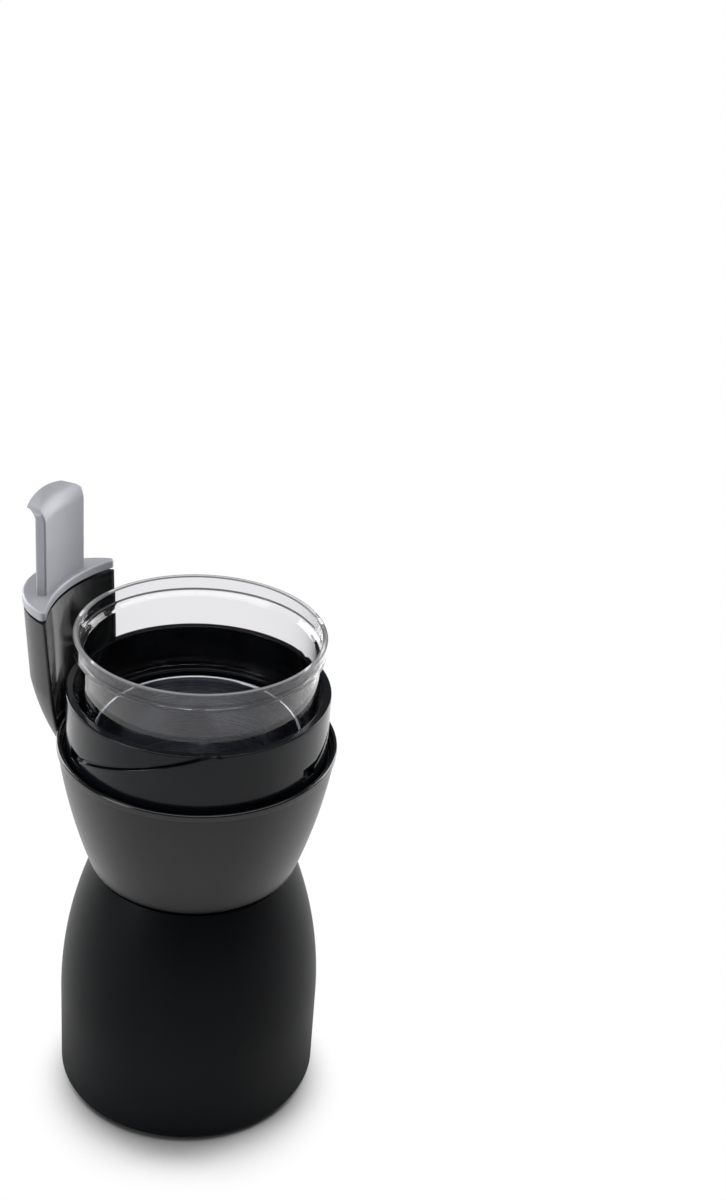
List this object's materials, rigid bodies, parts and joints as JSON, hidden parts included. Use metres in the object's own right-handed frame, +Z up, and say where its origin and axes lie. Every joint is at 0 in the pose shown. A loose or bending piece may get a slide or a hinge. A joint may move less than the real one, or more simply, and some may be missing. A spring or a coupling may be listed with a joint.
{
  "type": "electric coffee grinder",
  "caption": "Hourglass blade coffee grinder with its lid off: black housing, steel bowl, clear hopper ring and a silver push-down pulse lever on a side column.",
  "frame": {"origin": "On the grinding axis, at the surface that the rubber feet stand on", "axes": "+Z up along the grinding axis, -X towards the column with the pulse lever, +Y towards the cord bush"},
  "size_m": [0.1254, 0.1228, 0.2465],
  "materials": {
    "satin_black": "satin moulded black plastic",
    "gloss_black": "glossy moulded black plastic",
    "collar_black": "semi-gloss moulded black plastic",
    "clear_plastic": "clear moulded plastic",
    "bowl_steel": "drawn and polished stainless steel",
    "blade_steel": "ground stainless steel",
    "lever_silver": "satin silver paint on moulded plastic",
    "cover_black": "plain moulded black plastic",
    "foot_rubber": "soft black rubber",
    "bush_rubber": "black flexible PVC",
    "seal_rubber": "black silicone",
    "mount_rubber": "grey-black damping rubber",
    "screw_steel": "zinc-plated steel",
    "bracket_alloy": "die-cast alloy",
    "lamination_steel": "stacked steel laminations",
    "winding_copper": "enamelled copper wire",
    "commutator_copper": "turned copper",
    "bearing_bronze": "sintered bronze",
    "brush_carbon": "pressed carbon",
    "shaft_steel": "ground steel",
    "spring_steel": "spring steel",
    "fan_plastic": "pale moulded nylon",
    "hub_plastic": "black acetal",
    "switch_plastic": "black phenolic",
    "button_plastic": "red nylon"
  },
  "bodies": {
    "body": {"lower_housing": "satin_black", "upper_housing": "satin_black", "rim_ring": "gloss_black", "lid_collar": "collar_black", "grinding_bowl": "bowl_steel", "shaft_seal": "seal_rubber", "column_shell": "satin_black", "column_fascia": "gloss_black", "switch_body": "switch_plastic", "switch_bracket": "cover_black", "base_cover": "cover_black", "rubber_feet": "foot_rubber", "base_screws": "screw_steel", "collar_screws": "screw_steel", "column_screws": "screw_steel", "cord_bush": "bush_rubber", "motor_mounts": "mount_rubber", "motor_screws": "screw_steel", "upper_bracket": "bracket_alloy", "lower_bracket": "bracket_alloy", "upper_bearing": "bearing_bronze", "lower_bearing": "bearing_bronze", "motor_bolts": "screw_steel", "stator_core": "lamination_steel", "field_coils": "winding_copper", "carbon_brushes": "brush_carbon", "brush_holders": "commutator_copper"},
    "pulse_lever": {"pulse_lever": "lever_silver", "lever_push_rod": "shaft_steel", "lever_return_spring": "spring_steel", "switch_button": "button_plastic"},
    "rotor": {"motor_shaft": "shaft_steel", "armature_core": "lamination_steel", "armature_windings": "winding_copper", "commutator": "commutator_copper", "cooling_fan": "fan_plastic", "blade_hub": "hub_plastic", "grinding_blade": "blade_steel", "blade_nut": "hub_plastic"},
    "hopper": {"clear_hopper_ring": "clear_plastic"}
  },
  "joints": [
    {"name": "lever_press", "type": "slide", "parent": "body", "child": "pulse_lever", "axis": [0, 0, -1], "range_m": [0, 0.0013], "stiffness_N_per_m": 600, "springref_m": -0.002, "deforming": ["lever_return_spring"]},
    {"name": "rotor_spin", "type": "hinge", "parent": "body", "child": "rotor", "pos_m": [0, 0, 0.1], "axis": [0, 0, 1], "continuous": true},
    {"name": "hopper_lift", "type": "slide", "parent": "body", "child": "hopper", "axis": [0, 0, 1], "range_m": [0, 0.06]}
  ]
}
